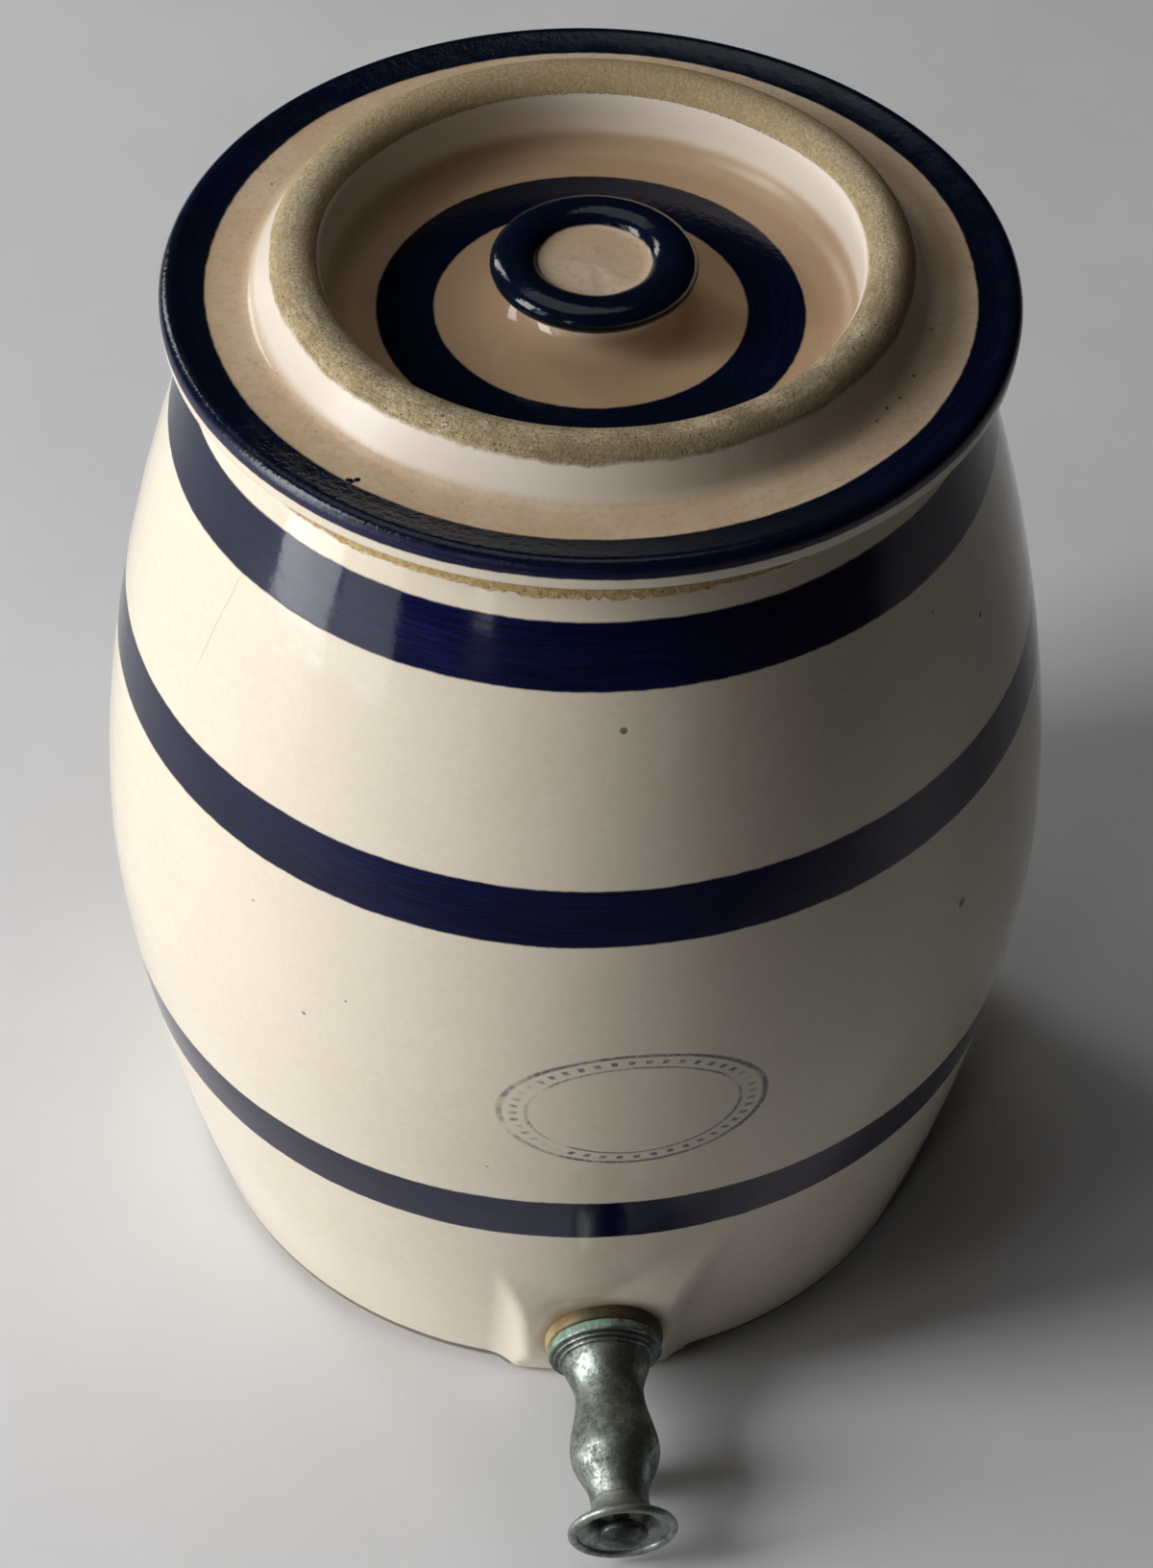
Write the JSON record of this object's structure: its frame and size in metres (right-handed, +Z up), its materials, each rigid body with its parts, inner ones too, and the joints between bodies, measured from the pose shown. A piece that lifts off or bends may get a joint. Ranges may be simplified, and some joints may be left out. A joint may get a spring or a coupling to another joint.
{
  "type": "water crock",
  "caption": "Barrel shaped stoneware water crock with a loose knobbed lid and a self-closing push tap low on its wall.",
  "frame": {"origin": "centre of the flat base, on the crock's axis", "axes": "+Z up along the crock's axis, -Y towards the tap, +X to the right seen from the tap"},
  "size_m": [0.2388, 0.2862, 0.2948],
  "materials": {
    "stoneware": "glossy cream glaze with cobalt bands",
    "amber_rubber": "aged amber rubber",
    "tap_metal": "tarnished nickel plate",
    "valve_brass": "dull brass",
    "valve_rubber": "black rubber",
    "spring_steel": "drawn wire",
    "packing_fibre": "waxed fibre"
  },
  "bodies": {
    "crock": {"crock_body": "stoneware", "outer_gasket": "amber_rubber", "tap_body": "tap_metal", "bell_cup": "tap_metal", "outlet_spout": "tap_metal", "inner_gasket": "amber_rubber", "inner_washer": "valve_brass", "lock_nut": "valve_brass", "return_spring": "spring_steel", "spring_retainer": "valve_brass", "stem_packing": "packing_fibre", "packing_washer": "valve_brass"},
    "lid": {"lid": "stoneware"},
    "button": {"push_button": "tap_metal", "valve_stem": "valve_brass", "valve_disc": "valve_brass", "valve_washer": "valve_rubber", "valve_nut": "valve_brass"}
  },
  "joints": [
    {"name": "lid_lift", "type": "slide", "parent": "crock", "child": "lid", "axis": [0, 0, 1], "range_m": [0, 0.15]},
    {"name": "button_push", "type": "slide", "parent": "crock", "child": "button", "axis": [0, 0.9903, 0.1392], "range_m": [0, 0.004], "stiffness_N_per_m": 600, "springref_m": -0.006, "deforming": ["return_spring"]}
  ]
}
